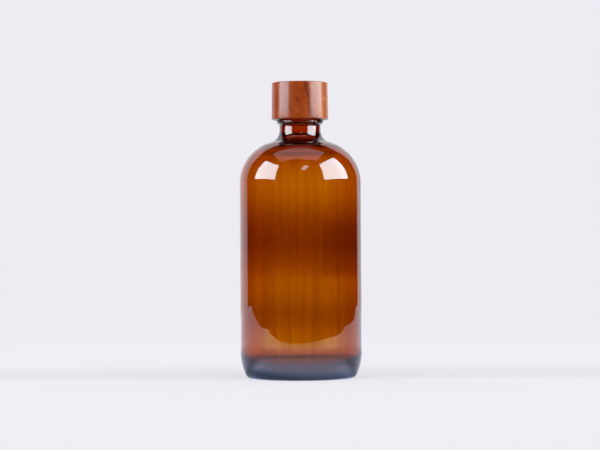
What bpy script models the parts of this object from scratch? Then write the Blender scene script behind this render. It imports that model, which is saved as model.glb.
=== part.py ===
"""Amber glass bottle with a turned wooden screw cap: a round-shouldered 500 ml bottle, 76 mm wide.

Five pieces on one upright axis: the glass bottle, the pour plug pressed into its mouth, and a cap
made of a wooden shell, a threaded insert glued inside it, and a loose foam liner disc.
Metres, +Z up, origin at the centre of the circle that the bottle stands on.
"""

import math

import bmesh
import bpy

MM = 0.001
TAU = 2 * math.pi
SEGMENTS = 64  # facets round every turned piece, a multiple of four so that its box is centred
FIT_GAP = 0.3  # clearance between pieces that touch in real life

# The glass, in millimetres. Its neck is the standard 28 mm single-turn screw finish.
BODY_RADIUS = 37.9
WALL = 2.5
SHOULDER_START = 121.35  # height where the straight wall ends
SHOULDER_RADIUS = 26.6
NECK_RADIUS = 12.85
NECK_FILLET = 7.6
HEEL_START = 16.0  # height where the wall begins to draw in towards the base
HEEL_RADIUS = 32.0
HEEL_EDGE_RADIUS = 3.6
BEARING_WIDTH = 2.8  # the flat ring that the bottle stands on
PUSH_UP = 2.6  # hollow under the middle of the base
FLOOR_HEIGHT = 6.0  # glass under the inside's lowest point
FLOOR_RISE = 1.2  # the inside floor swells up over the push-up
INNER_HEEL_RADIUS = 10.0
INNER_NECK_FILLET = 4.0
RIM_HEIGHT = 170.1
RIM_EDGE_RADIUS = 0.7
LIP_RADIUS = 0.6  # easing of the bore's upper edge
BORE_RADIUS = 9.2
BORE_BOTTOM = 162.8  # below this the bore draws in towards the foot of the neck
CHOKE_RADIUS = 8.9  # the bore at the foot of the neck
BEAD_HEIGHT = 159.4  # middle of the transfer bead under the cap
BEAD_CENTRE_RADIUS = 13.1
BEAD_RADIUS = 1.4
BEAD_HALF_ARC = 72  # degrees of the bead's round, above and below its middle
BEAD_CLEARANCE = 0.15  # straight stretch between the bead's round and its neighbours
FINISH_RADIUS = 12.6  # thread root

# The screw thread, the same pitch on the glass and in the insert.
PITCH = 25.4 / 6
THREAD_START = 163.5  # height of the glass ridge at its lower end
THREAD_PHASE = math.radians(200)  # where round the axis the glass ridge starts
THREAD_SINK = 0.35  # depth of each ridge's root inside its wall
GLASS_TURNS = 1.1
GLASS_CREST = 13.7
GLASS_RIDGE = (1.35, 0.55)  # half the ridge's height at its root and at its crest
INSERT_TURNS = 1.0
INSERT_CREST = 12.9
INSERT_RIDGE = (1.1, 0.35)
INSERT_LATER = 0.2  # turns by which the insert's ridge starts after the glass ridge
INSERT_BELOW = 1.71  # it lies this far under the glass ridge, so tightening pulls the cap down
THREAD_FADE = 0.09  # turns over which each end runs out into the wall
THREAD_END = 0.1  # share of the ridge's full height left at its ends, inside the wall
THREAD_STEPS = 44  # sections per turn

# The cap.
CAP_BOTTOM = 160.9
CAP_TOP = 184.2
CAP_BOTTOM_RADIUS = 17.75
CAP_TOP_RADIUS = 17.45
CAP_TOP_EDGE = 0.75
CAP_BOTTOM_EDGE = 0.3
SHELL_BORE_RADIUS = 15.9
SHELL_LEAD_IN = 0.4  # chamfer at the mouth of the shell's bore
INSERT_RECESS = 0.35  # the insert stops this far above the shell's lower edge
INSERT_RADIUS = 15.35
INSERT_STEP = 0.2  # the plain foot of the insert is this much narrower than its ribbed wall
INSERT_TOP_EDGE = 0.7
RIB_HEIGHT = 0.25
INSERT_BORE_RADIUS = 13.95
INSERT_LEAD_IN = (0.5, 0.7)  # width and height of the chamfer at the insert's mouth
INSERT_ROOF = 1.2
LINER_BEAD = 0.55  # how far the bead that keeps the liner in stands out of the bore
LINER_RADIUS = 13.6
LINER_THICKNESS = 1.2
LINER_EDGE = 0.15

# The pour plug.
PLUG_FLANGE_RADIUS = 11.6
FLANGE_THICKNESS = 0.8
PLUG_WALL = 0.9
PLUG_DEPTH = 8.5  # from the rim down to the skirt's foot
PLUG_WEB_DROP = 2.2  # the web lies this far below the rim
PLUG_WEB = 0.9
PLUG_RIBS = (2.3, 4.5)  # heights of the two sealing ribs above the skirt's foot
PLUG_RIB_DEPTH = 0.25
ORIFICE_RADIUS = 3.0
SPOUT_WALL = 0.8
EDGE = 0.2  # easing of the plug's and the spout's small edges

PLUG_FLANGE_BOTTOM = RIM_HEIGHT + FIT_GAP
LINER_BOTTOM = PLUG_FLANGE_BOTTOM + FLANGE_THICKNESS + FIT_GAP
ROOF_BOTTOM = LINER_BOTTOM + LINER_THICKNESS + FIT_GAP
SHELL_BORE_TOP = ROOF_BOTTOM + INSERT_ROOF + FIT_GAP


def clear_scene():
    """Removes whatever the file holds, so that the script can be run again."""
    for obj in list(bpy.data.objects):
        bpy.data.objects.remove(obj, do_unlink=True)


def material(name, colour, roughness, metallic=0.0, transmission=0.0):
    """A Principled BSDF with the piece's own colour."""
    made = bpy.data.materials.new(name)
    made.use_nodes = True
    shader = made.node_tree.nodes["Principled BSDF"]
    shader.inputs["Base Color"].default_value = (*colour, 1.0)
    shader.inputs["Roughness"].default_value = roughness
    shader.inputs["Metallic"].default_value = metallic
    shader.inputs["Transmission Weight"].default_value = transmission
    made.diffuse_color = (*colour, 1.0)
    return made


def arc(centre, radius, start, end, steps):
    """Points of a circular arc in the (radius, height) plane, angles in degrees from +radius."""
    angles = [math.radians(start + (end - start) * i / steps) for i in range(steps + 1)]
    return [(centre[0] + radius * math.cos(a), centre[1] + radius * math.sin(a)) for a in angles]


def linked_object(name, mesh_data, finish, parent, sharp_angle=35):
    """A smooth-shaded object of this mesh, hung from its parent empty on the axis."""
    obj = bpy.data.objects.new(name, mesh_data)
    bpy.context.scene.collection.objects.link(obj)
    mesh_data.materials.append(finish)
    mesh_data.shade_smooth()
    mesh_data.set_sharp_from_angle(angle=math.radians(sharp_angle))
    obj.parent = parent
    return obj


def face_outwards(bm):
    """Turns every face of a closed mesh to look out of it."""
    bmesh.ops.recalc_face_normals(bm, faces=bm.faces)
    if bm.calc_volume(signed=True) < 0:
        bmesh.ops.reverse_faces(bm, faces=bm.faces)


def turned(name, outline, finish, parent, closed_ring=False):
    """Spins an outline of (radius, height) points about the axis into one closed solid."""
    drop = parent.location.z
    bm = bmesh.new()
    verts = [bm.verts.new((r * MM, 0.0, z * MM - drop)) for r, z in outline]
    pairs = list(zip(verts, verts[1:]))
    if closed_ring:
        pairs.append((verts[-1], verts[0]))
    edges = [bm.edges.new(pair) for pair in pairs]
    bmesh.ops.spin(
        bm,
        geom=verts + edges,
        cent=(0, 0, 0),
        axis=(0, 0, 1),
        angle=TAU,
        steps=SEGMENTS,
        use_merge=True,
    )
    bmesh.ops.remove_doubles(bm, verts=bm.verts, dist=1e-6)
    face_outwards(bm)
    data = bpy.data.meshes.new(name)
    bm.to_mesh(data)
    bm.free()
    return linked_object(name, data, finish, parent)


def helical_ridge(name, parent, start, phase, turns, root, crest, halves):
    """A trapezoid wound up the axis as a right-hand thread, its ends sunk into the wall."""
    root_half, crest_half = halves
    drop = parent.location.z
    bm = bmesh.new()
    steps = round(turns * THREAD_STEPS)
    rows = []
    for i in range(steps + 1):
        turn = turns * i / steps
        fade = min(1.0, turn / THREAD_FADE, (turns - turn) / THREAD_FADE)
        tip = root + (crest - root) * max(fade, THREAD_END)
        middle = start + PITCH * turn
        angle = TAU * turn + phase
        section = [
            (root, middle - root_half),
            (tip, middle - crest_half),
            (tip, middle + crest_half),
            (root, middle + root_half),
        ]
        rows.append(
            [
                bm.verts.new((r * MM * math.cos(angle), r * MM * math.sin(angle), z * MM - drop))
                for r, z in section
            ]
        )
    for low, high in zip(rows, rows[1:]):
        for j in range(4):
            bm.faces.new((low[j], low[(j + 1) % 4], high[(j + 1) % 4], high[j]))
    bm.faces.new(rows[0])
    bm.faces.new(rows[-1])
    face_outwards(bm)
    data = bpy.data.meshes.new(name)
    bm.to_mesh(data)
    bm.free()
    obj = bpy.data.objects.new(name, data)
    bpy.context.scene.collection.objects.link(obj)
    obj.parent = parent
    obj.hide_render = True
    obj.display_type = "WIRE"
    return obj


def join_ridge(obj, ridge):
    """Adds a thread ridge to a turned piece with a Boolean union."""
    union = obj.modifiers.new("thread", "BOOLEAN")
    union.operation = "UNION"
    union.object = ridge
    union.solver = "EXACT"


def axis_empty(name, height):
    """An empty on the bottle's axis that carries the pieces which move together."""
    empty = bpy.data.objects.new(name, None)
    empty.location = (0, 0, height * MM)
    bpy.context.scene.collection.objects.link(empty)
    return empty


def shoulder_layout(shoulder_radius, neck_radius, neck_fillet):
    """Centres of the shoulder and neck fillet arcs, and the angle in degrees where they meet."""
    centre = (BODY_RADIUS - SHOULDER_RADIUS, SHOULDER_START)
    across = neck_radius + neck_fillet - centre[0]
    up = math.sqrt((shoulder_radius + neck_fillet) ** 2 - across**2)
    fillet_centre = (neck_radius + neck_fillet, SHOULDER_START + up)
    return centre, fillet_centre, math.degrees(math.atan2(up, across))


def bottle_outside():
    """The glass from the middle of the base, round the heel and shoulder, up to the rim."""
    heel_centre = BODY_RADIUS - HEEL_RADIUS
    reach = HEEL_RADIUS - HEEL_EDGE_RADIUS
    fall = HEEL_START - HEEL_EDGE_RADIUS
    edge_centre = heel_centre + math.sqrt(reach**2 - fall**2)
    meet = -math.degrees(math.asin(fall / reach))
    hollow = edge_centre - BEARING_WIDTH
    dome = [(hollow * k / 4, PUSH_UP * (1 - (k / 4) ** 2)) for k in range(5)]
    heel = arc((edge_centre, HEEL_EDGE_RADIUS), HEEL_EDGE_RADIUS, -90, meet, 4)
    heel += arc((heel_centre, HEEL_START), HEEL_RADIUS, meet, 0, 5)[1:]
    centre, fillet_centre, lean = shoulder_layout(SHOULDER_RADIUS, NECK_RADIUS, NECK_FILLET)
    shoulder = arc(centre, SHOULDER_RADIUS, 0, lean, 10)
    fillet = arc(fillet_centre, NECK_FILLET, 180 + lean, 180, 5)[1:]
    bead_reach = BEAD_RADIUS + BEAD_CLEARANCE
    bead = [(NECK_RADIUS, BEAD_HEIGHT - bead_reach)]
    bead += arc((BEAD_CENTRE_RADIUS, BEAD_HEIGHT), BEAD_RADIUS, -BEAD_HALF_ARC, BEAD_HALF_ARC, 6)
    bead.append((FINISH_RADIUS, BEAD_HEIGHT + bead_reach))
    rim_centre = (FINISH_RADIUS - RIM_EDGE_RADIUS, RIM_HEIGHT - RIM_EDGE_RADIUS)
    rim = arc(rim_centre, RIM_EDGE_RADIUS, 0, 90, 3)
    return dome + heel + shoulder + fillet + bead + rim


def bottle_inside():
    """The cavity from the rim down the bore, shoulder and wall to the middle of the floor."""
    inner_shoulder = SHOULDER_RADIUS - WALL
    centre, fillet_centre, lean = shoulder_layout(inner_shoulder, CHOKE_RADIUS, INNER_NECK_FILLET)
    lip = arc((BORE_RADIUS + LIP_RADIUS, RIM_HEIGHT - LIP_RADIUS), LIP_RADIUS, 90, 180, 2)
    bore = [(BORE_RADIUS, BORE_BOTTOM)]
    fillet = arc(fillet_centre, INNER_NECK_FILLET, 180, 180 + lean, 5)
    shoulder = arc(centre, inner_shoulder, lean, 0, 8)[1:]
    inner_radius = BODY_RADIUS - WALL
    heel_centre = (inner_radius - INNER_HEEL_RADIUS, FLOOR_HEIGHT + INNER_HEEL_RADIUS)
    heel = arc(heel_centre, INNER_HEEL_RADIUS, 0, -90, 7)
    floor = [
        (heel_centre[0] * k / 3, FLOOR_HEIGHT + FLOOR_RISE * (1 - (k / 3) ** 2))
        for k in (2, 1, 0)
    ]
    return lip + bore + fillet + shoulder + heel + floor


def make_bottle(finish, parent):
    """The amber glass bottle with its screw thread."""
    obj = turned("glass_bottle", bottle_outside() + bottle_inside(), finish, parent)
    ridge = helical_ridge(
        "bottle_thread_guide",
        parent,
        start=THREAD_START,
        phase=THREAD_PHASE,
        turns=GLASS_TURNS,
        root=FINISH_RADIUS - THREAD_SINK,
        crest=GLASS_CREST,
        halves=GLASS_RIDGE,
    )
    join_ridge(obj, ridge)
    return obj


def make_pour_plug(finish, parent):
    """The soft plug in the bottle's mouth: flange, tapered skirt, and a web with a short spout."""
    outer = BORE_RADIUS - FIT_GAP
    top = PLUG_FLANGE_BOTTOM + FLANGE_THICKNESS
    web_top = RIM_HEIGHT - PLUG_WEB_DROP
    web_bottom = web_top - PLUG_WEB
    foot = RIM_HEIGHT - PLUG_DEPTH
    spout_top = top - EDGE / 2
    skirt = outer - PLUG_RIB_DEPTH
    ribs = []
    for height in PLUG_RIBS:
        rib = foot + height
        ribs += [(skirt, rib - 0.7), (outer, rib - 0.3), (outer, rib + 0.3), (skirt, rib + 0.7)]
    outline = [
        (ORIFICE_RADIUS, spout_top),
        (ORIFICE_RADIUS, web_bottom),
        (outer - PLUG_WALL - EDGE, web_bottom),
        (outer - PLUG_WALL - EDGE, foot),
        (skirt - EDGE, foot),
        (skirt, foot + 0.8),
        *ribs,
        (skirt, PLUG_FLANGE_BOTTOM),
        (PLUG_FLANGE_RADIUS, PLUG_FLANGE_BOTTOM),
        (PLUG_FLANGE_RADIUS, top - EDGE),
        (PLUG_FLANGE_RADIUS - EDGE, top),
        (outer - PLUG_WALL, top),
        (outer - PLUG_WALL, web_top),
        (ORIFICE_RADIUS + SPOUT_WALL + EDGE, web_top),
        (ORIFICE_RADIUS + SPOUT_WALL - EDGE, spout_top),
    ]
    return turned("pour_plug", outline, finish, parent, closed_ring=True)


def make_shell(finish, parent):
    """The turned wooden cup, slightly narrower at its top."""
    crown = (CAP_TOP_RADIUS - CAP_TOP_EDGE, CAP_TOP - CAP_TOP_EDGE)
    outline = [
        (0, SHELL_BORE_TOP),
        (SHELL_BORE_RADIUS, SHELL_BORE_TOP),
        (SHELL_BORE_RADIUS, CAP_BOTTOM + SHELL_LEAD_IN),
        (SHELL_BORE_RADIUS + SHELL_LEAD_IN, CAP_BOTTOM),
        (CAP_BOTTOM_RADIUS - CAP_BOTTOM_EDGE, CAP_BOTTOM),
        (CAP_BOTTOM_RADIUS, CAP_BOTTOM + CAP_BOTTOM_EDGE),
        *arc(crown, CAP_TOP_EDGE, 0, 90, 4),
        (0, CAP_TOP),
    ]
    return turned("wooden_cap_shell", outline, finish, parent)


def rib_the_outside(obj):
    """Every other pair of rows on the insert's wall stands proud, as grip for the glue."""
    for vertex in obj.data.vertices:
        x, y, z = vertex.co
        radius = math.hypot(x, y)
        on_wall = abs(radius - INSERT_RADIUS * MM) < 1e-6
        facet = round(math.atan2(y, x) / TAU * SEGMENTS) % SEGMENTS
        if on_wall and facet % 4 < 2:
            grown = (INSERT_RADIUS + RIB_HEIGHT) * MM / radius
            vertex.co = (x * grown, y * grown, z)


def make_insert(finish, parent):
    """The threaded plastic cup inside the shell, with a bead that keeps the liner in."""
    bottom = CAP_BOTTOM + INSERT_RECESS
    top = ROOF_BOTTOM + INSERT_ROOF
    bead = LINER_BOTTOM - FIT_GAP
    foot_radius = INSERT_RADIUS - INSERT_STEP
    lead_in_width, lead_in_height = INSERT_LEAD_IN
    outline = [
        (0, ROOF_BOTTOM),
        (INSERT_BORE_RADIUS, ROOF_BOTTOM),
        (INSERT_BORE_RADIUS, bead),
        (INSERT_BORE_RADIUS - LINER_BEAD, bead - 0.2),
        (INSERT_BORE_RADIUS - LINER_BEAD, bead - 0.4),
        (INSERT_BORE_RADIUS, bead - 0.8),
        (INSERT_BORE_RADIUS, bottom + lead_in_height),
        (INSERT_BORE_RADIUS + lead_in_width, bottom),
        (foot_radius, bottom),
        (foot_radius, bottom + 0.9),
        (INSERT_RADIUS, bottom + 1.2),
        (INSERT_RADIUS, top - INSERT_TOP_EDGE),
        (INSERT_RADIUS - INSERT_TOP_EDGE, top),
        (0, top),
    ]
    obj = turned("threaded_insert", outline, finish, parent)
    rib_the_outside(obj)
    ridge = helical_ridge(
        "insert_thread_guide",
        parent,
        start=THREAD_START + PITCH * INSERT_LATER - INSERT_BELOW,
        phase=THREAD_PHASE + TAU * INSERT_LATER,
        turns=INSERT_TURNS,
        root=INSERT_BORE_RADIUS + THREAD_SINK,
        crest=INSERT_CREST,
        halves=INSERT_RIDGE,
    )
    join_ridge(obj, ridge)
    return obj


def make_liner(finish, parent):
    """The foam disc that seals on the plug's flange, slightly rounded at its edge."""
    top = LINER_BOTTOM + LINER_THICKNESS
    outline = [
        (0, LINER_BOTTOM),
        (LINER_RADIUS - LINER_EDGE, LINER_BOTTOM),
        (LINER_RADIUS, LINER_BOTTOM + LINER_EDGE),
        (LINER_RADIUS, top - LINER_EDGE),
        (LINER_RADIUS - LINER_EDGE, top),
        (0, top),
    ]
    return turned("sealing_liner", outline, finish, parent)


def build():
    """Makes the bottle and its closure, each group hung from an empty on the axis."""
    clear_scene()
    glass = material("amber_glass", (0.30, 0.08, 0.01), 0.03, transmission=1.0)
    wood = material("turned_wood", (0.30, 0.085, 0.03), 0.38)
    polypropylene = material("white_polypropylene", (0.82, 0.82, 0.80), 0.35)
    foam = material("white_foam", (0.88, 0.88, 0.86), 0.75)
    polythene = material("natural_polythene", (0.86, 0.87, 0.86), 0.45)

    bottle_axis = axis_empty("bottle_axis", 0.0)
    cap_axis = axis_empty("cap_axis", CAP_BOTTOM)
    liner_axis = axis_empty("liner_axis", LINER_BOTTOM)
    make_bottle(glass, bottle_axis)
    make_pour_plug(polythene, bottle_axis)
    make_liner(foam, liner_axis)
    make_insert(polypropylene, cap_axis)
    make_shell(wood, cap_axis)


build()
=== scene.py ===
"""Looks of the amber aftershave bottle with its turned wooden screw cap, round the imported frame.

Lengths in the outlines are millimetres, as in the design, and become metres when a mesh is made.
+Z is up, the bottle stands on z = 0 round the origin, and the front view looks along +Y.
"""

import math
import random

import bmesh
import bpy
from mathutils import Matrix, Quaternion, Vector


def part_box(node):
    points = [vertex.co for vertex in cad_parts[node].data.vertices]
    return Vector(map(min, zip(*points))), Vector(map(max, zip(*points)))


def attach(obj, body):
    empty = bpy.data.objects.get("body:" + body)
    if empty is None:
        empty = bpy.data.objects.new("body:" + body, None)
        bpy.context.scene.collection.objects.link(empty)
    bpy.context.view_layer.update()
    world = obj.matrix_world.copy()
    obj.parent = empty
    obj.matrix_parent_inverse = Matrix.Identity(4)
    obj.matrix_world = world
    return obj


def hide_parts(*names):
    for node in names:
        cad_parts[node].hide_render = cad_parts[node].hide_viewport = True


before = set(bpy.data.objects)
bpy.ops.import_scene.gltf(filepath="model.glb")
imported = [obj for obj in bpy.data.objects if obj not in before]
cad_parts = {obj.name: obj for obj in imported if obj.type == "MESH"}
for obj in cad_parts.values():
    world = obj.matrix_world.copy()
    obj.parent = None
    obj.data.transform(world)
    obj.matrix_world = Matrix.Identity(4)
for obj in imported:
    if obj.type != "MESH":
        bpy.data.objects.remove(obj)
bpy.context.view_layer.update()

MM = 0.001
TAU = 2 * math.pi

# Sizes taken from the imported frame, in millimetres.
BODY_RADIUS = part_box("glass_bottle")[1][0] / MM
RIM_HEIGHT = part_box("glass_bottle")[1][2] / MM
CAP_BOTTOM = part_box("wooden_cap_shell")[0][2] / MM
CAP_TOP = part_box("wooden_cap_shell")[1][2] / MM
CAP_BOTTOM_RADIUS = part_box("wooden_cap_shell")[1][0] / MM
INSERT_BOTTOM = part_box("threaded_insert")[0][2] / MM
INSERT_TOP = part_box("threaded_insert")[1][2] / MM
LINER_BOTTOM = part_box("sealing_liner")[0][2] / MM
LINER_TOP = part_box("sealing_liner")[1][2] / MM
LINER_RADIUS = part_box("sealing_liner")[1][0] / MM
PLUG_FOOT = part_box("pour_plug")[0][2] / MM
PLUG_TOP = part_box("pour_plug")[1][2] / MM
PLUG_FLANGE_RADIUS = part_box("pour_plug")[1][0] / MM

# The glass.
WALL = 2.5
SHOULDER_START = 121.35
SHOULDER_RADIUS = 26.6
NECK_RADIUS = 12.85
NECK_FILLET = 7.6
HEEL_START = 16.0
HEEL_RADIUS = 32.0
HEEL_EDGE_RADIUS = 3.6
BEARING_WIDTH = 2.8
PUSH_UP = 2.6
FLOOR_HEIGHT = 6.0
FLOOR_RISE = 1.2
INNER_HEEL_RADIUS = 10.0
INNER_NECK_FILLET = 4.0
BORE_RADIUS = 9.2
CHOKE_RADIUS = 8.9  # the bore at the foot of the neck
RIM_RADIUS = 0.7
LIP_RADIUS = 0.6
BEAD_HEIGHT = 159.4
BEAD_CENTRE_RADIUS = 13.1
BEAD_RADIUS = 1.4
BEAD_UNDERCUT = 0.35  # the small round step between the neck and the bead
FINISH_RADIUS = 12.6

# The thread on the glass and in the insert.
PITCH = 25.4 / 6
THREAD_START = 163.5
THREAD_PHASE = math.radians(200)
GLASS_TURNS = 1.1
GLASS_CREST = 13.7
GLASS_RIDGE_HALF_WIDTH = 1.4
INSERT_TURNS = 1.0
INSERT_LATER = 0.2
INSERT_BELOW = 1.71
INSERT_CREST = 12.9
INSERT_RIDGE_HALF_WIDTH = 1.15
THREAD_FADE = 0.09  # the part of a turn over which a ridge's ends run out
THREAD_ROW = 0.2  # the height between two rows of vertices on a threaded wall

# The cap and the plug.
CAP_TOP_RADIUS = 17.45
SHELL_BORE_RADIUS = 15.9
INSERT_RADIUS = 15.35
INSERT_BORE_RADIUS = 13.95
INSERT_ROOF = 1.2
GRIP_RIBS = 32
GRIP_RIB_HEIGHT = 0.22
PLUG_RADIUS = BORE_RADIUS - 0.3
PLUG_WALL = 0.9
ORIFICE_RADIUS = 3.0
SPOUT_WALL = 0.8


# ---------------------------------------------------------------- shapes

SMALLEST_CORNER = math.radians(8)  # an outline's flatter corners stay as they are


def smoothstep(low, high, value):
    """0 below low, 1 above high, and a smooth ramp between them."""
    t = min(1.0, max(0.0, (value - low) / (high - low)))
    return t * t * (3 - 2 * t)


def arc(centre, radius, start, end, steps):
    """Points of a circular arc in the (radius, height) plane, angles in degrees from +radius."""
    angles = [math.radians(start + (end - start) * i / steps) for i in range(steps + 1)]
    return [(centre[0] + radius * math.cos(a), centre[1] + radius * math.sin(a)) for a in angles]


def straight(start, end, steps):
    """Points along a line, both ends left out."""
    return [
        (start[0] + (end[0] - start[0]) * i / steps, start[1] + (end[1] - start[1]) * i / steps)
        for i in range(1, steps)
    ]


def softened(points, radius, steps=3):
    """The outline with each inner corner rounded by up to this radius."""
    rounded = [points[0]]
    for before, corner, after in zip(points, points[1:], points[2:]):
        c = Vector(corner)
        to_before = Vector(before) - c
        to_after = Vector(after) - c
        turn = math.pi - to_before.angle(to_after)
        if turn < SMALLEST_CORNER:
            rounded.append(corner)
            continue
        reach = min(
            radius * math.tan(turn / 2), to_before.length * 0.45, to_after.length * 0.45
        )
        first = c + to_before.normalized() * reach
        last = c + to_after.normalized() * reach
        for i in range(steps + 1):
            t = i / steps
            point = first * (1 - t) ** 2 + c * (2 * t * (1 - t)) + last * t**2
            rounded.append((point.x, point.y))
    rounded.append(points[-1])
    return rounded


def lathe(name, outline, columns, relief=None, ring=False):
    """A closed solid turned about the axis. relief(row, angle) adds to a row's radius, in mm."""
    bm = bmesh.new()
    rows = []
    for index, (radius, height) in enumerate(outline):
        if radius < 1e-6:
            rows.append([bm.verts.new((0, 0, height * MM))])
            continue
        row = []
        for k in range(columns):
            angle = TAU * k / columns
            r = radius + (relief(index, angle) if relief else 0.0)
            row.append(
                bm.verts.new((r * MM * math.cos(angle), r * MM * math.sin(angle), height * MM))
            )
        rows.append(row)
    pairs = list(zip(rows, rows[1:]))
    if ring:
        pairs.append((rows[-1], rows[0]))
    for low, high in pairs:
        for k in range(columns):
            corners = [low[k % len(low)], low[(k + 1) % len(low)]]
            corners += [high[(k + 1) % len(high)], high[k % len(high)]]
            bm.faces.new(dict.fromkeys(corners))
    if bm.calc_volume(signed=True) < 0:
        bmesh.ops.reverse_faces(bm, faces=bm.faces)
    mesh = bpy.data.meshes.new(name)
    bm.to_mesh(mesh)
    bm.free()
    mesh.shade_smooth()
    obj = bpy.data.objects.new(name, mesh)
    bpy.context.scene.collection.objects.link(obj)
    return obj


def thread_height(angle, height, start, turns, phase, half_width):
    """How far a thread's ridge stands out at this angle and height, from 0 to 1."""
    best = 0.0
    turn = ((angle - phase) / TAU) % 1.0
    while turn <= turns:
        away = abs(height - (start + PITCH * turn)) / half_width
        run_out = min(turn, turns - turn) / THREAD_FADE
        best = max(best, smoothstep(1.0, 0.35, away) * smoothstep(0.0, 1.0, run_out))
        turn += 1.0
    return best


# ---------------------------------------------------------------- the bottle

GLASS_COLUMNS = 336
# Extra wall thickness in mm: SETTLE_LEVEL all over, and SETTLE_THICKER more where the glass
# settled, which comes in and goes out between these heights.
SETTLE_LEVEL = -0.5
SETTLE_THICKER = 0.4
SETTLE_RISE = (48.0, 84.0)
SETTLE_FALL = (84.0, 118.0)
# Soft vertical ripples on the inside of the wall: how many, how wide in degrees to either side,
# how deep in mm, and the height in mm over which one swells and fades.
RIPPLES = 46
RIPPLE_HALF_WIDTHS = (1.2, 4.5)
RIPPLE_DEPTHS = (-0.12, 0.16)
RIPPLE_SWELL = 21.0
# The heights between which the inside's unevenness comes in and goes out.
UNEVEN_RISE = (8.0, 22.0)
UNEVEN_FALL = (126.0, 146.0)


def shoulder_layout(shoulder_radius, neck_radius, neck_fillet):
    """Centres of the shoulder and neck fillet arcs, and the angle where they meet."""
    centre = (BODY_RADIUS - SHOULDER_RADIUS, SHOULDER_START)
    across = neck_radius + neck_fillet - centre[0]
    up = math.sqrt((shoulder_radius + neck_fillet) ** 2 - across**2)
    fillet_centre = (neck_radius + neck_fillet, SHOULDER_START + up)
    return centre, fillet_centre, math.degrees(math.atan2(up, across))


def glass_outside():
    """From the middle of the base, round the heel and shoulder, up to the transfer bead."""
    heel_centre = BODY_RADIUS - HEEL_RADIUS
    reach = HEEL_RADIUS - HEEL_EDGE_RADIUS
    fall = HEEL_START - HEEL_EDGE_RADIUS
    edge_centre = heel_centre + math.sqrt(reach**2 - fall**2)
    meet = -math.degrees(math.asin(fall / reach))
    hollow = edge_centre - BEARING_WIDTH
    dome = [(hollow * k / 12, PUSH_UP * (1 - (k / 12) ** 2)) for k in range(12)]
    heel = arc((edge_centre, HEEL_EDGE_RADIUS), HEEL_EDGE_RADIUS, -90, meet, 9)
    heel += arc((heel_centre, HEEL_START), HEEL_RADIUS, meet, 0, 10)[1:]
    centre, fillet_centre, lean = shoulder_layout(SHOULDER_RADIUS, NECK_RADIUS, NECK_FILLET)
    wall = straight(heel[-1], (BODY_RADIUS, SHOULDER_START), 8)
    shoulder = arc(centre, SHOULDER_RADIUS, 0, lean, 28)
    fillet = arc(fillet_centre, NECK_FILLET, 180 + lean, 180, 14)[1:]
    neck_top = BEAD_HEIGHT - BEAD_RADIUS - 0.5
    neck = straight(fillet[-1], (NECK_RADIUS, neck_top), 3)
    bead = arc((NECK_RADIUS + BEAD_UNDERCUT, neck_top), BEAD_UNDERCUT, 180, 90, 3)
    bead += arc((BEAD_CENTRE_RADIUS, BEAD_HEIGHT), BEAD_RADIUS, -72, 72, 12)
    dome_edge = [(hollow - 0.5, 0.12), (hollow, 0.0)]
    return dome + dome_edge + heel + wall + shoulder + fillet + neck + bead


def glass_inside():
    """From the rim down the bore, shoulder and wall to the middle of the inside floor."""
    centre, fillet_centre, lean = shoulder_layout(
        SHOULDER_RADIUS - WALL, CHOKE_RADIUS, INNER_NECK_FILLET
    )
    lip = arc((BORE_RADIUS + LIP_RADIUS, RIM_HEIGHT - LIP_RADIUS), LIP_RADIUS, 90, 180, 4)
    bore_foot = (BORE_RADIUS, BEAD_HEIGHT + 3.5)
    bore = straight(lip[-1], bore_foot, 4) + [bore_foot]
    fillet = arc(fillet_centre, INNER_NECK_FILLET, 180, 180 + lean, 10)
    shoulder = arc(centre, SHOULDER_RADIUS - WALL, lean, 0, 26)[1:]
    inner_radius = BODY_RADIUS - WALL
    heel_centre = (inner_radius - INNER_HEEL_RADIUS, FLOOR_HEIGHT + INNER_HEEL_RADIUS)
    wall = straight(shoulder[-1], (inner_radius, heel_centre[1]), 62)
    heel = arc(heel_centre, INNER_HEEL_RADIUS, 0, -90, 16)
    floor = [
        (heel_centre[0] * k / 8, FLOOR_HEIGHT + FLOOR_RISE * (1 - (k / 8) ** 2))
        for k in range(7, -1, -1)
    ]
    return lip + bore + fillet + shoulder + wall + heel + floor


def settle_wave(height):
    """Extra wall thickness, in mm, where the glass settled before it was blown out."""
    thick = smoothstep(*SETTLE_RISE, height) * (1 - smoothstep(*SETTLE_FALL, height))
    return SETTLE_THICKER * thick + SETTLE_LEVEL


def ripple_set(seed):
    """Soft vertical ripples: (angle, half-width in radians, depth in mm, slow wander)."""
    rng = random.Random(seed)
    return [
        (
            rng.uniform(0, TAU),
            math.radians(rng.uniform(*RIPPLE_HALF_WIDTHS)),
            rng.uniform(*RIPPLE_DEPTHS),
            rng.uniform(0, TAU),
        )
        for _ in range(RIPPLES)
    ]


def ripple_at(ripples, angle, height):
    """The sum of the vertical ripples at this place, in mm of extra thickness."""
    total = 0.0
    for centre, width, depth, wander in ripples:
        away = (angle - centre + math.pi) % TAU - math.pi
        if abs(away) < 3 * width:
            fade = 0.65 + 0.35 * math.sin(height / RIPPLE_SWELL + wander)
            total += depth * fade * math.exp(-((away / width) ** 2))
    return total


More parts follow.
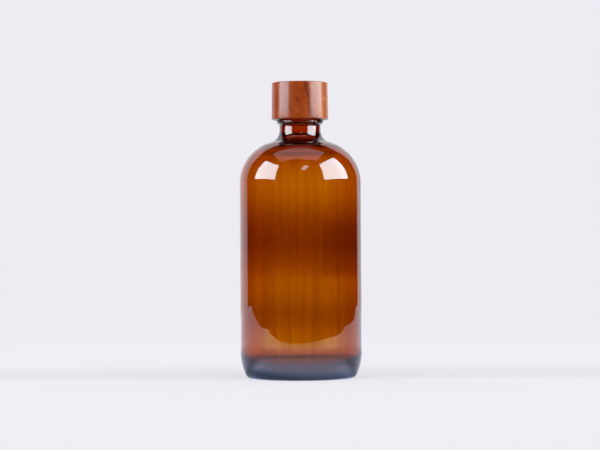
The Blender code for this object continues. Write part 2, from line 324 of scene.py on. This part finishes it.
def make_glass():
    """The bottle as one closed shell of uneven thickness, with its moulded thread."""
    outside = glass_outside()
    base = BEAD_HEIGHT + BEAD_RADIUS + 0.15
    count = int((RIM_HEIGHT - 0.9 - base) / THREAD_ROW)
    threaded = [(FINISH_RADIUS, base + THREAD_ROW * i) for i in range(count)]
    rim = arc((FINISH_RADIUS - RIM_RADIUS, RIM_HEIGHT - RIM_RADIUS), RIM_RADIUS, 0, 90, 5)
    first_threaded = len(outside)
    first_rim = first_threaded + len(threaded)
    first_inside = first_rim + len(rim)
    outline = outside + threaded + rim + glass_inside()
    ripples = ripple_set(seed=11)

    def relief(index, angle):
        height = outline[index][1]
        if first_threaded <= index < first_rim:
            ridge = thread_height(
                angle, height, THREAD_START, GLASS_TURNS, THREAD_PHASE, GLASS_RIDGE_HALF_WIDTH
            )
            return (GLASS_CREST - FINISH_RADIUS) * ridge
        if index < first_inside:
            return 0.0
        share = smoothstep(*UNEVEN_RISE, height) * (1 - smoothstep(*UNEVEN_FALL, height))
        if share == 0.0:
            return 0.0
        return -share * (settle_wave(height) + ripple_at(ripples, angle, height))

    return lathe("amber_bottle", outline, GLASS_COLUMNS, relief)


def make_plug():
    """The soft pour plug in the mouth, with sealing ribs on its skirt and a short spout."""
    web_top = RIM_HEIGHT - 2.2
    web_bottom = web_top - 0.9
    flange_bottom = PLUG_TOP - 0.8
    spout_top = PLUG_TOP - 0.1
    ribs = []
    for rib in (PLUG_FOOT + 2.3, PLUG_FOOT + 4.5):
        ribs += [(PLUG_RADIUS - 0.25, rib - 0.7), (PLUG_RADIUS, rib - 0.25)]
        ribs += [(PLUG_RADIUS, rib + 0.25), (PLUG_RADIUS - 0.25, rib + 0.7)]
    outline = [
        (ORIFICE_RADIUS, spout_top - 0.4),
        (ORIFICE_RADIUS, web_bottom),
        (PLUG_RADIUS - PLUG_WALL - 0.2, web_bottom),
        (PLUG_RADIUS - PLUG_WALL - 0.3, PLUG_FOOT),
        (PLUG_RADIUS - 0.5, PLUG_FOOT),
        (PLUG_RADIUS - 0.25, PLUG_FOOT + 0.8),
        *ribs,
        (PLUG_RADIUS - 0.2, flange_bottom),
        (PLUG_FLANGE_RADIUS, flange_bottom),
        (PLUG_FLANGE_RADIUS, PLUG_TOP),
        (PLUG_RADIUS - PLUG_WALL, PLUG_TOP),
        (PLUG_RADIUS - PLUG_WALL, web_top),
        (ORIFICE_RADIUS + SPOUT_WALL + 0.2, web_top),
        (ORIFICE_RADIUS + SPOUT_WALL - 0.2, spout_top),
        (ORIFICE_RADIUS, spout_top),
        (ORIFICE_RADIUS, spout_top - 0.4),
    ]
    return lathe("pouring_plug", softened(outline, 0.25)[:-1], 96, ring=True)


# ---------------------------------------------------------------- the cap


def make_shell():
    """The turned wooden cup, with eased edges and a faintly crowned top."""
    bore_top = INSERT_TOP + 0.3
    outline = [
        (0.0, bore_top),
        (SHELL_BORE_RADIUS, bore_top),
        (SHELL_BORE_RADIUS, CAP_BOTTOM),
        (CAP_BOTTOM_RADIUS, CAP_BOTTOM),
        (CAP_TOP_RADIUS, CAP_TOP - 0.12),
        (9.0, CAP_TOP),
        (0.0, CAP_TOP),
    ]
    return lathe("turned_cap", softened(outline, 0.7, steps=6), 192)


def make_insert():
    """The threaded plastic cup: fine grip ribs outside, the thread and a liner bead inside."""
    bead = LINER_BOTTOM - 0.5
    roof = INSERT_TOP - INSERT_ROOF
    top_of_thread = bead - 1.0
    count = int((top_of_thread - INSERT_BOTTOM - 0.9) / THREAD_ROW)
    wall = [(INSERT_BORE_RADIUS, top_of_thread - THREAD_ROW * i) for i in range(count)]
    before = softened(
        [
            (0.0, roof),
            (INSERT_BORE_RADIUS, roof),
            (INSERT_BORE_RADIUS, bead + 0.2),
            (INSERT_BORE_RADIUS - 0.55, bead),
            (INSERT_BORE_RADIUS - 0.55, bead - 0.2),
            (INSERT_BORE_RADIUS, bead - 0.7),
        ],
        0.2,
    )
    after = softened(
        [
            (INSERT_BORE_RADIUS, INSERT_BOTTOM + 0.7),
            (INSERT_BORE_RADIUS + 0.5, INSERT_BOTTOM),
            (INSERT_RADIUS - 0.2, INSERT_BOTTOM),
            (INSERT_RADIUS - 0.2, INSERT_BOTTOM + 0.9),
            (INSERT_RADIUS, INSERT_BOTTOM + 1.2),
            (INSERT_RADIUS, INSERT_TOP),
            (0.0, INSERT_TOP),
        ],
        0.4,
    )
    outline = before + wall + after
    start = THREAD_START + PITCH * INSERT_LATER - INSERT_BELOW
    phase = THREAD_PHASE + TAU * INSERT_LATER

    def relief(index, angle):
        radius, height = outline[index]
        if len(before) <= index < len(before) + len(wall):
            ridge = thread_height(
                angle, height, start, INSERT_TURNS, phase, INSERT_RIDGE_HALF_WIDTH
            )
            return (INSERT_CREST - INSERT_BORE_RADIUS) * ridge
        if radius > INSERT_RADIUS - 0.1 and height > INSERT_BOTTOM + 1.0:
            return GRIP_RIB_HEIGHT * smoothstep(-0.4, 0.4, math.sin(angle * GRIP_RIBS))
        return 0.0

    return lathe("cap_insert", outline, 256, relief)


def make_liner():
    """The foam disc, with a rounded edge."""
    outline = [
        (0.0, LINER_BOTTOM),
        (LINER_RADIUS * 0.6, LINER_BOTTOM),
        (LINER_RADIUS, LINER_BOTTOM),
        (LINER_RADIUS, LINER_TOP),
        (LINER_RADIUS * 0.6, LINER_TOP),
        (0.0, LINER_TOP),
    ]
    return lathe("foam_disc", softened(outline, 0.3), 96)


# ---------------------------------------------------------------- materials

# Painted shade, laid into the glass's colour as darker bands, at each height in mm: 0 is none, 1 is
# the deepest painted shade.
GLASS_SHADE_BANDS = [
    (20, 0.0),
    (26, 0.25),
    (33, 0.65),
    (41, 0.82),
    (48, 0.54),
    (55, 0.33),
    (62, 0.25),
    (70, 0.6),
    (77, 0.82),
    (84, 1.0),
    (92, 0.9),
    (99, 0.74),
    (106, 0.43),
    (113, 0.15),
    (120, 0.0),
]
GLASS_TONE_SPAN = 0.14  # metres of height over which those tones are laid
# The colour of the deepest painted shade.
DEEPEST_PAINTED_SHADE = (0.70, 0.57, 0.42)
TONE_DRIFT = 0.004  # metres by which a tone wanders up and down round the bottle
# Painted shade round the foot of the base and in the crease at the foot of the neck, and a darker
# patch down one side: the heights in metres where each comes in and goes out, and its tint.
BASE_SHADE_BAND = (-0.002, -0.001, 0.0070, 0.0112)
BASE_SHADE_TONE = (0.25, 0.1, 0.1, 1)
NECK_CREASE_SHADE_BAND = (0.1425, 0.1436, 0.1454, 0.1465)
NECK_CREASE_SHADE_TONE = (0.3, 0.2, 0.22, 1)
PATCH_BAND = (0.060, 0.068, 0.090, 0.104)
PATCH_EDGE = (0.0128, 0.0142)  # the X where the patch down one side begins
PATCH_TONE = (0.91, 0.86, 0.9, 1)
# The fine and the broad draw marks, as tints by the value of their noise.
FINE_MARKS = [(0.36, (0.9, 0.87, 0.85)), (0.6, (1.0, 1.0, 1.0))]
BROAD_MARKS = [(0.34, (0.87, 0.83, 0.8)), (0.62, (1.0, 1.0, 1.0))]
GLASS_IOR = 1.52
ABSORB_COLOUR = (0.93, 0.775, 0.0, 1)
ABSORB_DENSITY = 2200  # per metre

# The cap's wood, by the value of its figure.
WOOD_TONES = [
    (0.36, (0.098, 0.0124, 0.0008)),
    (0.46, (0.122, 0.0168, 0.0010)),
    (0.55, (0.138, 0.0200, 0.0014)),
    (0.66, (0.162, 0.0262, 0.0023)),
]
# The cap's one dark vein: where X + VEIN_LEAN * Z equals VEIN_PLACE, in metres.
VEIN_LEAN = 0.21
VEIN_PLACE = 0.0415
VEIN_WANDER = 0.0014
VEIN_REACH = 0.0014
VEIN_TONE = [(0.15, (0.62, 0.5, 0.45)), (1.0, (1.0, 1.0, 1.0))]
LIT_SIDE_REACH = 0.010  # painted light: past the vein, towards +X, the wood is painted paler over this distance, as the side more strongly lit
# The paler, painted-light wood on that side of the cap, by the value of its figure.
PAINTED_LIGHT_WOOD = [(0.36, (0.115, 0.026, 0.006)), (0.66, (0.20, 0.052, 0.017))]


class Nodes:
    """Short calls for building one material's node tree."""

    def __init__(self, name):
        self.material = bpy.data.materials.new(name)
        self.material.use_nodes = True
        self.tree = self.material.node_tree
        self.shader = self.tree.nodes["Principled BSDF"]
        self.output = self.tree.nodes["Material Output"]

    def add(self, kind, inputs=None, **settings):
        """A node with these settings; inputs maps a socket to a value or to another socket."""
        node = self.tree.nodes.new(kind)
        for key, value in settings.items():
            setattr(node, key, value)
        for socket, value in (inputs or {}).items():
            self.put(node.inputs[socket], value)
        return node

    def put(self, socket, value):
        """Links a socket to another one, or sets its value."""
        if isinstance(value, bpy.types.NodeSocket):
            self.tree.links.new(value, socket)
        else:
            socket.default_value = value

    def set(self, **inputs):
        """Sets sockets of the Principled shader, with _ for a space in their names."""
        for name, value in inputs.items():
            self.put(self.shader.inputs[name.replace("_", " ")], value)

    def place(self, scale=(1, 1, 1)):
        """Object coordinates, scaled; a noise of scale 1 then varies that often in a metre."""
        source = self.add("ShaderNodeTexCoord").outputs["Object"]
        return self.add("ShaderNodeMapping", {"Vector": source, "Scale": scale}).outputs["Vector"]

    def drawn_out(self, stretch, turn):
        """Object coordinates turned and then stretched, so that a noise gets a slanting grain."""
        source = self.add("ShaderNodeTexCoord").outputs["Object"]
        mapping = self.add("ShaderNodeMapping", {"Vector": source, "Scale": stretch})
        mapping.vector_type = "TEXTURE"
        mapping.inputs["Rotation"].default_value = turn
        return mapping.outputs["Vector"]

    def noise(self, vector, scale, detail=3.0, roughness=0.5, distortion=0.0):
        """The value of a noise texture."""
        node = self.add(
            "ShaderNodeTexNoise",
            {
                "Vector": vector,
                "Scale": scale,
                "Detail": detail,
                "Roughness": roughness,
                "Distortion": distortion,
            },
        )
        return node.outputs["Fac"]

    def calc(self, operation, *values):
        """The result of a math node."""
        return self.add("ShaderNodeMath", dict(enumerate(values)), operation=operation).outputs[0]

    def ramp(self, value, stops):
        """A colour ramp with (position, colour) stops."""
        node = self.add("ShaderNodeValToRGB", {"Fac": value})
        elements = node.color_ramp.elements
        elements[0].position, elements[1].position = stops[0][0], stops[-1][0]
        elements[0].color, elements[1].color = (*stops[0][1], 1), (*stops[-1][1], 1)
        for position, colour in stops[1:-1]:
            elements.new(position).color = (*colour, 1)
        return node.outputs["Color"]

    def mix(self, fac, first, second, blend="MIX"):
        """Two colours blended."""
        node = self.add("ShaderNodeMix", data_type="RGBA", blend_type=blend)
        self.put(node.inputs["Factor"], fac)
        self.put(node.inputs[6], first)
        self.put(node.inputs[7], second)
        return node.outputs[2]

    def span(self, value, low, high):
        """A 0 to 1 value mapped to low to high."""
        node = self.add("ShaderNodeMapRange", {"Value": value, "To Min": low, "To Max": high})
        return node.outputs["Result"]

    def ease(self, value, low, high):
        """A smooth 0 to 1 ramp as the value goes from low to high."""
        node = self.add("ShaderNodeMapRange", {"Value": value, "From Min": low, "From Max": high})
        node.interpolation_type = "SMOOTHSTEP"
        return node.outputs["Result"]

    def band(self, value, edges):
        """Rises from 0 to 1 between the first two edges and falls back between the last two."""
        start, full, ebb, end = edges
        return self.calc("MULTIPLY", self.ease(value, start, full), self.ease(value, end, ebb))

    def bump(self, height, strength, distance):
        """A bump normal; distance is in metres."""
        node = self.add(
            "ShaderNodeBump", {"Height": height, "Strength": strength, "Distance": distance}
        )
        return node.outputs["Normal"]


def amber_glass():
    """Clear amber glass with fine upright draw marks, and painted shade: darker bands up the wall,
    round the foot and at the foot of the neck.
    """
    m = Nodes("amber_glass")
    axes = m.add("ShaderNodeSeparateXYZ", {"Vector": m.place()}).outputs
    height = axes["Z"]
    drift = m.noise(m.place(scale=(28, 28, 8)), 1.0, detail=1.0)
    drift = m.span(drift, -TONE_DRIFT, TONE_DRIFT)
    # Painted shade: darker bands laid into the glass's colour by height.
    share = m.calc("DIVIDE", m.calc("ADD", height, drift), GLASS_TONE_SPAN)
    tones = [
        (z * MM / GLASS_TONE_SPAN, tuple(1 - depth * (1 - c) for c in DEEPEST_PAINTED_SHADE))
        for z, depth in GLASS_SHADE_BANDS
    ]
    tone = m.ramp(share, tones)
    patch = m.calc("MULTIPLY", m.band(height, PATCH_BAND), m.ease(axes["X"], *PATCH_EDGE))
    tone = m.mix(patch, tone, PATCH_TONE, blend="MULTIPLY")
    # Painted shade in the crease at the foot of the neck and round the foot of the base.
    tone = m.mix(m.band(height, NECK_CREASE_SHADE_BAND), tone, NECK_CREASE_SHADE_TONE, blend="MULTIPLY")
    tone = m.mix(m.band(height, BASE_SHADE_BAND), tone, BASE_SHADE_TONE, blend="MULTIPLY")
    fine = m.noise(m.place(scale=(330, 330, 5)), 1.0, detail=3.0, roughness=0.6)
    broad = m.noise(m.place(scale=(95, 95, 4)), 1.0, detail=2.0)
    marks = m.mix(1.0, m.ramp(fine, FINE_MARKS), m.ramp(broad, BROAD_MARKS), blend="MULTIPLY")
    m.set(Base_Color=m.mix(1.0, tone, marks, blend="MULTIPLY"))
    m.set(Roughness=0.0, IOR=GLASS_IOR, Transmission_Weight=1.0)
    wave = m.noise(m.place(scale=(60, 60, 9)), 1.0, detail=1.0)
    m.set(Normal=m.bump(wave, 0.2, 0.0003))
    absorb = m.add("ShaderNodeVolumeAbsorption")
    absorb.inputs["Color"].default_value = ABSORB_COLOUR
    absorb.inputs["Density"].default_value = ABSORB_DENSITY
    m.put(m.output.inputs["Volume"], absorb.outputs["Volume"])
    return m.material


def turned_wood():
    """Reddish hardwood under satin lacquer: leaning grain, a cross ripple and one dark vein, with
    painted light making the side past the vein paler.
    """
    m = Nodes("turned_wood")
    grain_way = m.drawn_out((1, 1, 4), (math.radians(12), math.radians(-24), 0))
    grain = m.noise(grain_way, 260, detail=4.0, roughness=0.55, distortion=0.8)
    ripple_way = m.drawn_out((1, 1, 2.6), (0, math.radians(-52), 0))
    ripple = m.noise(ripple_way, 640, detail=2.0)
    figure = m.mix(0.4, grain, ripple)
    axes = m.add("ShaderNodeSeparateXYZ", {"Vector": m.place()}).outputs
    across = m.calc("MULTIPLY_ADD", axes["Z"], VEIN_LEAN, axes["X"])
    # Painted light: past the vein, the cap's side towards +X is painted paler, as if more strongly
    # lit.
    lit_side = m.ease(across, VEIN_PLACE, VEIN_PLACE + LIT_SIDE_REACH)
    wood = m.mix(lit_side, m.ramp(figure, WOOD_TONES), m.ramp(figure, PAINTED_LIGHT_WOOD))
    wander = m.span(m.noise(m.place(), 130, detail=2.0), -VEIN_WANDER, VEIN_WANDER)
    away = m.calc("ABSOLUTE", m.calc("ADD", m.calc("SUBTRACT", across, VEIN_PLACE), wander))
    vein = m.ramp(m.calc("DIVIDE", away, VEIN_REACH), VEIN_TONE)
    m.set(Base_Color=m.mix(1.0, wood, vein, blend="MULTIPLY"))
    m.set(Roughness=m.span(ripple, 0.17, 0.29), Specular_IOR_Level=0.26)
    m.set(Normal=m.bump(ripple, 0.3, 0.0001))
    return m.material


def moulded_plastic(name, colour, roughness, grain):
    """Smooth moulded plastic, finely textured and faintly uneven in colour, as its Nodes."""
    m = Nodes(name)
    cloud = m.noise(m.place(), 260, detail=3.0)
    darker = tuple(c * 0.93 for c in colour)
    m.set(Base_Color=m.ramp(cloud, [(0.3, darker), (0.7, colour)]))
    fine = m.noise(m.place(), grain, detail=2.0)
    m.set(Roughness=m.span(fine, roughness - 0.05, roughness + 0.05))
    m.set(Normal=m.bump(fine, 0.2, 0.00003))
    return m


def white_foam():
    """Closed-cell foam: small cells show as a fine dimpled skin."""
    m = moulded_plastic("white_foam", (0.62, 0.62, 0.6), 0.6, 2500)
    cells = m.add("ShaderNodeTexVoronoi", {"Vector": m.place(), "Scale": 2600.0})
    m.set(Normal=m.bump(cells.outputs["Distance"], 0.35, 0.00008))
    return m.material


def finish(piece, material, body, node):
    """Gives a piece its material and slot, sets it on its body, and hides the node it replaces."""
    piece.data.materials.clear()
    piece.data.materials.append(material)
    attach(piece, body)
    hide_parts(node)


def make_pieces():
    """All the object's pieces, each with its material and on its body."""
    plug = moulded_plastic("natural_polythene", (0.5, 0.52, 0.52), 0.42, 1800)
    plug.set(Subsurface_Weight=0.2, Subsurface_Scale=0.002)
    insert = moulded_plastic("white_polypropylene", (0.6, 0.6, 0.59), 0.32, 2200)
    finish(make_glass(), amber_glass(), "bottle", "glass_bottle")
    finish(make_plug(), plug.material, "bottle", "pour_plug")
    finish(make_liner(), white_foam(), "liner", "sealing_liner")
    finish(make_insert(), insert.material, "cap", "threaded_insert")
    finish(make_shell(), turned_wood(), "cap", "wooden_cap_shell")


# ---------------------------------------------------------------- studio

CAMERA_DISTANCE = 1.25
CAMERA_HEIGHT = 0.0858
CAMERA_ASIDE = -0.0004
CAMERA_PITCH = 0.43  # degrees above the horizontal
CAMERA_ROLL = 0.33
LENS = 120.0
BEHIND = 1.15  # brightness of the surround behind the bottle, as its glass sees it
BESIDE = 1.45  # and of the surround beside it
BEHIND_BEGINS = 0.5  # how far backwards a direction points where BESIDE starts to give way
BACKDROP = (0.85, 0.84, 0.89)
LAMP_COLOUR = (0.78, 0.94, 1.0)
SOFTBOX_DISTANCE = 0.33
# Each softbox: degrees round from the front, its two side edges, its lower and upper edges, and
# its brightness.
LEFT_SOFTBOX = (-77, (-0.085, 0.195), (0.163, 0.43), 11.5)
RIGHT_SOFTBOX = (80, (-0.245, 0.106), (0.162, 0.50), 11.8)
SMALL_LAMP_AZIMUTH = 9.5
SMALL_LAMP_ELEVATION = 37.5
SMALL_LAMP_DISTANCE = 0.8
SMALL_LAMP_SIZE = (0.11, 0.19)
SMALL_LAMP_BRIGHTNESS = 5.0
SMALL_LAMP_LEAN = -35
FLOOR_RADIUS = 0.8
FLOOR_FADE = (0.25, 0.75)  # the distances between which the floor fades into the surround
FLOOR_SEGMENTS = 96
FLOOR_COLOUR = (0.17, 0.17, 0.17, 1)
FLOOR_GLOW = (0.665, 0.66, 0.70, 1)
FLOOR_GAP = 0.0001  # keeps the floor from touching the base
SHADED_STRIP = (-0.03, 0.015, 0.05, 0.14)  # a faintly darker strip of table behind the bottle
SHADED_TONE = (0.92, 0.9, 0.91, 1)
CARD_GLOW = 4.0
ROOM_RADIUS = 1.4
ROOM_HEIGHT = 1.55
ROOM_COLUMNS = 24
DARK_CEILING = ((-1.6, 1.6), (-1.5, 1.2))
CEILING_PANEL = ((-0.86, 0.72), (-0.7, 0.3))
CEILING_COLOUR = (0.31, 0.3, 0.32, 1)
CEILING_DROP = 0.05  # how far the bright panel hangs below the dark ceiling
# Where the dark wall starts and ends at its foot and at its top: the height, and degrees round
# from the front.
ROOM_ENDS = [(-0.4, (-117, 133)), (ROOM_HEIGHT, (-130, 139))]
UNDER_FLOOR = -0.0004  # the height of the card that stands for the table in reflections
# The outline of the table, in metres, as the glass reflects it.
TABLE_OUTLINE = [
    (-2.0, 1.0),
    (-1.3, 0.36),
    (-0.77, -0.15),
    (-0.67, -0.34),
    (-0.3, -0.36),
    (0.0, -0.42),
    (0.2, -0.41),
    (0.42, -0.34),
    (0.58, -0.18),
    (0.8, 0.0),
    (0.85, 0.48),
    (1.25, 1.0),
]
# The table's brightness in those reflections, in front of the bottle and to its sides, by
# distance from its axis as a share of TABLE_REACH.
TABLE_REACH = 0.4
TABLE_IN_FRONT = [
    (0.085, (0.15, 0.18, 0.31)),
    (0.1, (0.43, 0.53, 0.85)),
    (0.1125, (0.66, 0.68, 0.95)),
    (0.135, (0.62, 0.64, 0.9)),
    (0.18, (0.46, 0.5, 0.64)),
    (0.26, (0.33, 0.34, 0.36)),
    (0.7, (0.29, 0.29, 0.3)),
    (0.8, (0.42, 0.4, 0.32)),
    (0.95, (0.4, 0.38, 0.2)),
]
TABLE_BESIDE = [
    (0.085, (0.09, 0.1, 0.14)),
    (0.11, (0.18, 0.185, 0.26)),
    (0.18, (0.24, 0.23, 0.28)),
    (0.28, (0.23, 0.23, 0.28)),
    (0.7, (0.23, 0.23, 0.27)),
    (0.9, (0.29, 0.31, 0.36)),
]
TABLE_GLARE = 1.7  # how much brighter the far parts on either side of the front are
TABLE_GLARE_WAY = (-0.95, -0.7, -0.5, -0.05)  # their direction: -1 is in front, 0 is beside
TABLE_GLARE_REACH = (0.65, 0.85)  # their distance, as a share of TABLE_REACH
TABLE_SIDES = (-0.6, -0.1)  # the directions where the front's light gives way to the sides'
# The bottle's shadow, round which that light spreads, is wider to the left.
SHADOW_SCALE = (0.87, 1, 0)
SHADOW_SHIFT = (0.003, 0, 0)


def make_camera():
    """The camera, level with the middle of the glass and looking very slightly up."""
    data = bpy.data.cameras.new("camera")
    data.lens = LENS
    data.sensor_width = 36.0
    data.clip_start = 0.01
    camera = bpy.data.objects.new("camera", data)
    bpy.context.scene.collection.objects.link(camera)
    camera.location = (CAMERA_ASIDE, -CAMERA_DISTANCE, CAMERA_HEIGHT)
    camera.rotation_mode = "XYZ"
    camera.rotation_euler = (math.radians(90 + CAMERA_PITCH), math.radians(CAMERA_ROLL), 0.0)
    bpy.context.scene.camera = camera


def make_world():
    """A pale surround that lights the bottle more strongly than it looks, most from the sides."""
    world = bpy.data.worlds.new("surround")
    world.use_nodes = True
    tree = world.node_tree
    background = tree.nodes["Background"]
    background.inputs["Color"].default_value = (*BACKDROP, 1)
    direction = tree.nodes.new("ShaderNodeTexCoord")
    axes = tree.nodes.new("ShaderNodeSeparateXYZ")
    tree.links.new(direction.outputs["Generated"], axes.inputs["Vector"])
    lit = tree.nodes.new("ShaderNodeMapRange")
    lit.inputs["From Min"].default_value = BEHIND_BEGINS
    lit.inputs["From Max"].default_value = 1.0
    lit.inputs["To Min"].default_value = BESIDE
    lit.inputs["To Max"].default_value = BEHIND
    tree.links.new(axes.outputs["Y"], lit.inputs["Value"])
    path = tree.nodes.new("ShaderNodeLightPath")
    strength = tree.nodes.new("ShaderNodeMapRange")
    strength.inputs["To Max"].default_value = 1.0
    tree.links.new(lit.outputs["Result"], strength.inputs["To Min"])
    tree.links.new(path.outputs["Is Camera Ray"], strength.inputs["Value"])
    tree.links.new(strength.outputs["Result"], background.inputs["Strength"])
    bpy.context.scene.world = world


def make_lamp(name, centre, outwards, size, brightness, lean=0.0):
    """A rectangular soft light at centre, facing away from outwards.

    brightness is how bright its own surface looks. It lights the object and shows in
    reflections, but not directly or through the glass.
    """
    data = bpy.data.lights.new(name, "AREA")
    data.shape = "RECTANGLE"
    data.size, data.size_y = size
    data.energy = 4 * brightness * data.size * data.size_y
    data.color = LAMP_COLOUR
    lamp = bpy.data.objects.new(name, data)
    bpy.context.scene.collection.objects.link(lamp)
    turn = Vector(outwards).to_track_quat("Z", "Y") @ Quaternion((0, 0, 1), math.radians(lean))
    lamp.rotation_mode = "QUATERNION"
    lamp.rotation_quaternion = turn
    lamp.location = centre
    lamp.visible_camera = False
    lamp.visible_transmission = False
    return lamp


def make_softbox(name, azimuth, edges, heights, brightness):
    """An upright soft light beside the bottle, SOFTBOX_DISTANCE from its axis.

    azimuth is in degrees round from the front, edges are its two sides, counted the same way
    round, and heights are its lower and upper edges, in metres.
    """
    angle = math.radians(azimuth)
    outwards = Vector((math.sin(angle), -math.cos(angle), 0))
    along = Vector((math.cos(angle), math.sin(angle), 0))
    centre = outwards * SOFTBOX_DISTANCE + along * sum(edges) / 2
    centre.z = sum(heights) / 2
    size = (edges[1] - edges[0], heights[1] - heights[0])
    return make_lamp(name, centre, outwards, size, brightness)


def make_spotlight():
    """The small tilted lamp high in front, which shows as one little highlight."""
    azimuth = math.radians(SMALL_LAMP_AZIMUTH)
    elevation = math.radians(SMALL_LAMP_ELEVATION)
    outwards = Vector(
        (
            math.sin(azimuth) * math.cos(elevation),
            -math.cos(azimuth) * math.cos(elevation),
            math.sin(elevation),
        )
    )
    centre = Vector((0, 0, SHOULDER_START * MM)) + outwards * SMALL_LAMP_DISTANCE
    return make_lamp(
        "small_lamp",
        centre,
        outwards,
        SMALL_LAMP_SIZE,
        SMALL_LAMP_BRIGHTNESS,
        lean=SMALL_LAMP_LEAN,
    )


def leave_floor_out(lamps, floor):
    """The lamps light the object only, so that the tabletop stays evenly pale."""
    left_out = bpy.data.collections.new("lamps_leave_out")
    left_out.objects.link(floor)
    left_out.collection_objects[0].light_linking.link_state = "EXCLUDE"
    for lamp in lamps:
        lamp.light_linking.receiver_collection = left_out


def reflected_only(obj):
    """A card that shows in reflections and nowhere else."""
    obj.visible_camera = False
    obj.visible_diffuse = False
    obj.visible_transmission = False
    obj.visible_volume_scatter = False
    obj.visible_shadow = False


def black_material():
    """Matt black card."""
    m = Nodes("black_card")
    m.set(Base_Color=(0.003, 0.003, 0.003, 1), Roughness=1.0, Specular_IOR_Level=0.0)
    return m.material


def glowing(m, colour, strength=CARD_GLOW):
    """The material m, made to give out light; colour and strength are values or sockets."""
    glow = m.add("ShaderNodeEmission", {"Color": colour, "Strength": strength})
    m.put(m.output.inputs["Surface"], glow.outputs[0])
    return m.material


def table_material():
    """The table's light, changing with distance from the bottle and from the front to the sides."""
    m = Nodes("table_sheen")
    shadow = {0: m.place(), 1: SHADOW_SCALE, 2: SHADOW_SHIFT}
    flat = m.add("ShaderNodeVectorMath", shadow, operation="MULTIPLY_ADD").outputs[0]
    length = m.add("ShaderNodeVectorMath", {0: flat}, operation="LENGTH").outputs["Value"]
    way = m.add("ShaderNodeVectorMath", {0: flat}, operation="NORMALIZE").outputs[0]
    backwards = m.add("ShaderNodeSeparateXYZ", {"Vector": way}).outputs["Y"]
    share = m.calc("DIVIDE", length, TABLE_REACH)
    beside = m.ease(backwards, *TABLE_SIDES)
    tone = m.mix(beside, m.ramp(share, TABLE_IN_FRONT), m.ramp(share, TABLE_BESIDE))
    far = m.ease(share, *TABLE_GLARE_REACH)
    glare = m.calc("MULTIPLY", m.band(backwards, TABLE_GLARE_WAY), far)
    return glowing(m, tone, m.span(glare, CARD_GLOW, CARD_GLOW * TABLE_GLARE))


def make_card(name, corners, faces, material):
    """A sheet of card with these corners and faces, in metres, that only reflections see."""
    mesh = bpy.data.meshes.new(name)
    mesh.from_pydata(corners, [], faces)
    mesh.materials.append(material)
    card = bpy.data.objects.new(name, mesh)
    bpy.context.scene.collection.objects.link(card)
    reflected_only(card)


def make_flat_card(name, x, y, height, material):
    """A level rectangle of card between the two x and the two y."""
    turns = ((0, 0), (1, 0), (1, 1), (0, 1))
    make_card(name, [(x[i], y[j], height) for i, j in turns], [(0, 1, 2, 3)], material)


def make_room():
    """What the surfaces reflect: a dark room in front, a bright ceiling panel, and the table."""
    black = black_material()
    wall = []
    for k in range(ROOM_COLUMNS + 1):
        for z, (start, end) in ROOM_ENDS:
            angle = math.radians(start + (end - start) * k / ROOM_COLUMNS)
            wall.append((ROOM_RADIUS * math.sin(angle), -ROOM_RADIUS * math.cos(angle), z))
    faces = [(2 * k, 2 * k + 2, 2 * k + 3, 2 * k + 1) for k in range(ROOM_COLUMNS)]
    make_card("dark_room", wall, faces, black)
    make_flat_card("dark_ceiling", *DARK_CEILING, ROOM_HEIGHT, black)
    bright = glowing(Nodes("ceiling_panel"), CEILING_COLOUR)
    make_flat_card("ceiling_panel", *CEILING_PANEL, ROOM_HEIGHT - CEILING_DROP, bright)
    corners = [(x, y, UNDER_FLOOR) for x, y in TABLE_OUTLINE]
    make_card("table_sheen", corners, [tuple(range(len(corners)))], table_material())


def floor_material():
    """Pale matt laminate that glows a little, to soften the shadow, and fades out at its rim."""
    m = Nodes("tabletop")
    m.set(Base_Color=FLOOR_COLOUR, Roughness=0.8, Specular_IOR_Level=0.0)
    centre = m.place()
    depth = m.add("ShaderNodeSeparateXYZ", {"Vector": centre}).outputs["Y"]
    glow = m.mix(m.band(depth, SHADED_STRIP), FLOOR_GLOW, SHADED_TONE, blend="MULTIPLY")
    m.set(Emission_Color=glow, Emission_Strength=1.0)
    length = m.add("ShaderNodeVectorMath", {0: centre}, operation="LENGTH").outputs["Value"]
    clear = m.add("ShaderNodeBsdfTransparent")
    blend = m.add("ShaderNodeMixShader")
    m.put(blend.inputs["Fac"], m.ease(length, *FLOOR_FADE))
    m.put(blend.inputs[1], m.shader.outputs[0])
    m.put(blend.inputs[2], clear.outputs[0])
    m.put(m.output.inputs["Surface"], blend.outputs[0])
    return m.material


def make_floor():
    """The round tabletop, which the glass doesn't reflect: its card does that."""
    bm = bmesh.new()
    bmesh.ops.create_circle(bm, cap_ends=True, radius=FLOOR_RADIUS, segments=FLOOR_SEGMENTS)
    mesh = bpy.data.meshes.new("tabletop")
    bm.to_mesh(mesh)
    bm.free()
    mesh.materials.append(floor_material())
    floor = bpy.data.objects.new("tabletop", mesh)
    floor.location.z = -FLOOR_GAP
    floor.visible_glossy = False
    bpy.context.scene.collection.objects.link(floor)
    return floor


def make_studio():
    """Camera, surround, lights, room and floor."""
    bpy.context.scene.view_settings.view_transform = "Standard"
    make_camera()
    make_world()
    left = make_softbox("left_softbox", *LEFT_SOFTBOX)
    right = make_softbox("right_softbox", *RIGHT_SOFTBOX)
    make_room()
    leave_floor_out([left, right, make_spotlight()], make_floor())


make_pieces()
make_studio()
